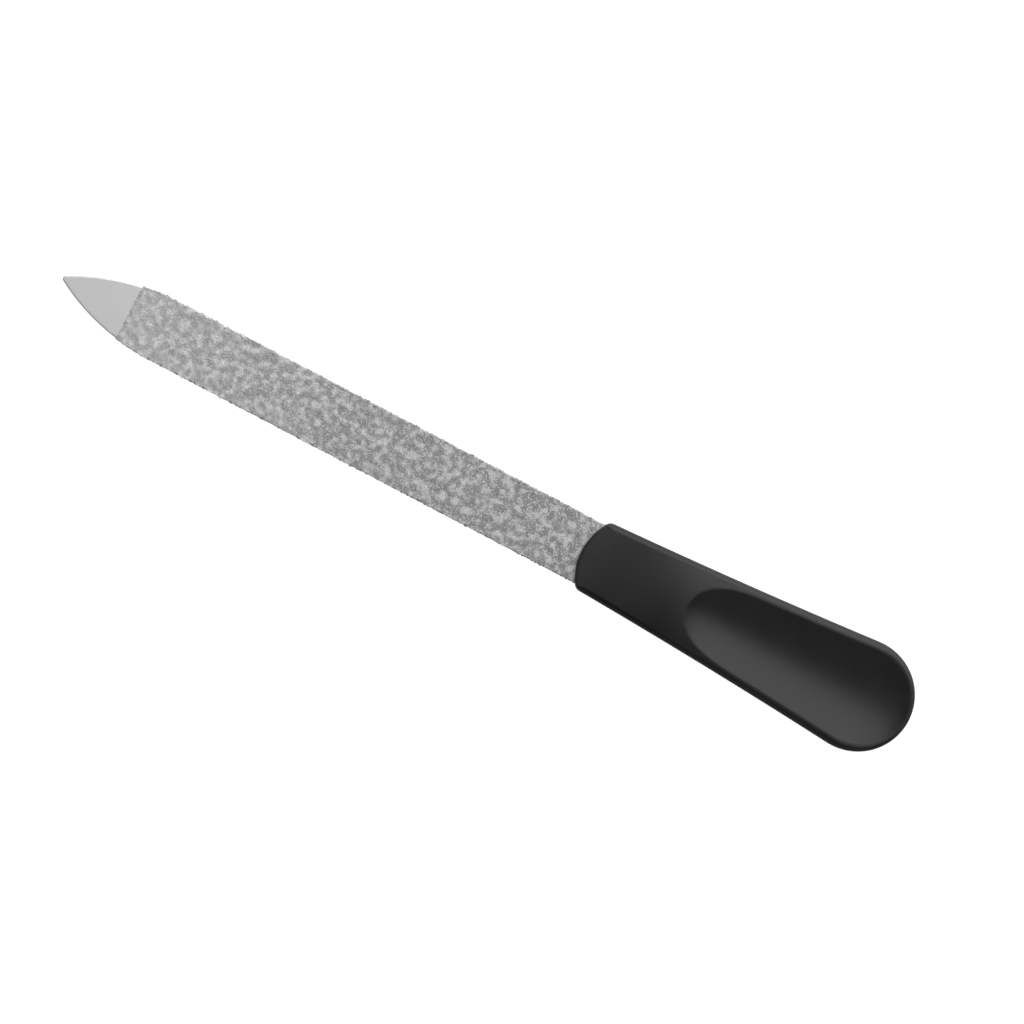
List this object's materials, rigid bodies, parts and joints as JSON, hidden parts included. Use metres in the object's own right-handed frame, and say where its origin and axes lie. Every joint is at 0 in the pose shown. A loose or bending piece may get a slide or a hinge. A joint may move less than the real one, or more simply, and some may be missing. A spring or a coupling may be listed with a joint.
{
  "type": "nail file",
  "caption": "Flat pointed nail file: steel blade with an abrasive coat on each face and a bare tip, its tang locked inside a flared black handle with a thumb scoop on each side.",
  "frame": {"origin": "centre of the bounding box's footprint, at the bottom: the flat land under the handle's swell lies on z = 0", "axes": "+X along the file towards the blade's tip, +Y across its width, +Z out of the face with the coarse abrasive"},
  "size_m": [0.13, 0.0156, 0.0051],
  "materials": {
    "satin_steel": "satin",
    "coarse_grit": "matte",
    "fine_grit": "matte",
    "black_plastic": "satin"
  },
  "bodies": {
    "root": {"steel_blank": "satin_steel", "coarse_abrasive": "coarse_grit", "fine_abrasive": "fine_grit", "handle": "black_plastic"}
  },
  "joints": []
}
